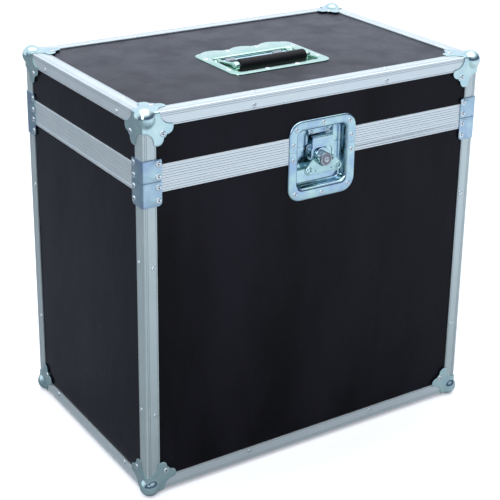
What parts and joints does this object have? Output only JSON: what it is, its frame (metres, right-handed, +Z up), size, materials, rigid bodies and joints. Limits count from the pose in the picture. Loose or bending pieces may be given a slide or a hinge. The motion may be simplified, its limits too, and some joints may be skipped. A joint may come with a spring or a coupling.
{
  "type": "record carrying case",
  "caption": "Upright carrying case of dark panels in ribbed metal edge profiles, with ball corners, a hinged lid, a recessed butterfly latch and a recessed spring handle on top.",
  "frame": {"origin": "middle of the plane the four bottom ball corners stand on", "axes": "+Z up, the latch side faces -Y, +X to the right seen from the latch side"},
  "size_m": [0.543, 0.359, 0.5448],
  "materials": {
    "film_faced_plywood": "satin",
    "ribbed_aluminium": "satin",
    "zinc_plated_corner": "polished",
    "zinc_plated_steel": "polished",
    "foam": "matte",
    "bare_steel": "satin",
    "rubber_grip": "matte"
  },
  "bodies": {
    "base": {"bottom_panel": "film_faced_plywood", "front_panel": "film_faced_plywood", "back_panel": "film_faced_plywood", "left_panel": "film_faced_plywood", "right_panel": "film_faced_plywood", "bottom_edge_front": "ribbed_aluminium", "bottom_edge_back": "ribbed_aluminium", "bottom_edge_left": "ribbed_aluminium", "bottom_edge_right": "ribbed_aluminium", "base_uprights": "ribbed_aluminium", "groove_rim_front": "ribbed_aluminium", "groove_rim_back": "ribbed_aluminium", "groove_rim_left": "ribbed_aluminium", "groove_rim_right": "ribbed_aluminium", "foot_corner_front_left": "zinc_plated_corner", "foot_corner_front_right": "zinc_plated_corner", "foot_corner_back_left": "zinc_plated_corner", "foot_corner_back_right": "zinc_plated_corner", "base_braces": "zinc_plated_steel", "latch_dish": "zinc_plated_steel", "floor_pad": "foam", "base_rivets": "zinc_plated_steel", "hinge_base_leaves": "zinc_plated_steel", "hinge_pins": "bare_steel"},
    "lid": {"top_panel": "film_faced_plywood", "lid_front_panel": "film_faced_plywood", "lid_back_panel": "film_faced_plywood", "lid_left_panel": "film_faced_plywood", "lid_right_panel": "film_faced_plywood", "top_edge_front": "ribbed_aluminium", "top_edge_back": "ribbed_aluminium", "top_edge_left": "ribbed_aluminium", "top_edge_right": "ribbed_aluminium", "lid_uprights": "ribbed_aluminium", "tongue_rim_front": "ribbed_aluminium", "tongue_rim_back": "ribbed_aluminium", "tongue_rim_left": "ribbed_aluminium", "tongue_rim_right": "ribbed_aluminium", "top_corner_front_left": "zinc_plated_corner", "top_corner_front_right": "zinc_plated_corner", "top_corner_back_left": "zinc_plated_corner", "top_corner_back_right": "zinc_plated_corner", "lid_braces": "zinc_plated_steel", "latch_lid_dish": "zinc_plated_steel", "latch_keeper": "zinc_plated_steel", "lid_pad": "foam", "lid_rivets": "zinc_plated_steel", "hinge_lid_leaves": "zinc_plated_steel", "handle_dish": "zinc_plated_steel", "handle_pin": "zinc_plated_steel", "handle_springs": "bare_steel"},
    "latch_rotor": {"latch_rotor": "bare_steel", "latch_retainer": "zinc_plated_steel"},
    "latch_wing": {"latch_wing": "zinc_plated_steel", "latch_wing_pin": "zinc_plated_steel"},
    "latch_claw": {"latch_claw": "zinc_plated_steel"},
    "handle": {"handle_bail": "zinc_plated_steel", "handle_grip": "rubber_grip"}
  },
  "joints": [
    {"name": "lid_hinge", "type": "hinge", "parent": "base", "child": "lid", "pos_m": [0, 0.1755, 0.4465], "axis": [-1, 0, 0], "range_deg": [0, 100]},
    {"name": "latch_turn", "type": "hinge", "parent": "base", "child": "latch_rotor", "pos_m": [0.0057, -0.171, 0.4303], "axis": [0, 1, 0], "range_deg": [0, 180]},
    {"name": "claw_pull", "type": "slide", "parent": "base", "child": "latch_claw", "axis": [0, 0.4819, -0.8762], "range_m": [0, 0.00685]},
    {"name": "wing_fold", "type": "hinge", "parent": "latch_rotor", "child": "latch_wing", "pos_m": [0.0057, -0.1735, 0.4303], "axis": [-1, 0, 0], "range_deg": [0, 90]},
    {"name": "handle_fold", "type": "hinge", "parent": "lid", "child": "handle", "pos_m": [0, -0.006, 0.5288], "axis": [-1, 0, 0], "range_deg": [0, 90], "stiffness_Nm_per_rad": 0.2, "springref_deg": -28.65}
  ],
  "couplings": [
    {"joint": "claw_pull", "follows": "latch_turn", "m_per_rad": 0.0021797}
  ]
}
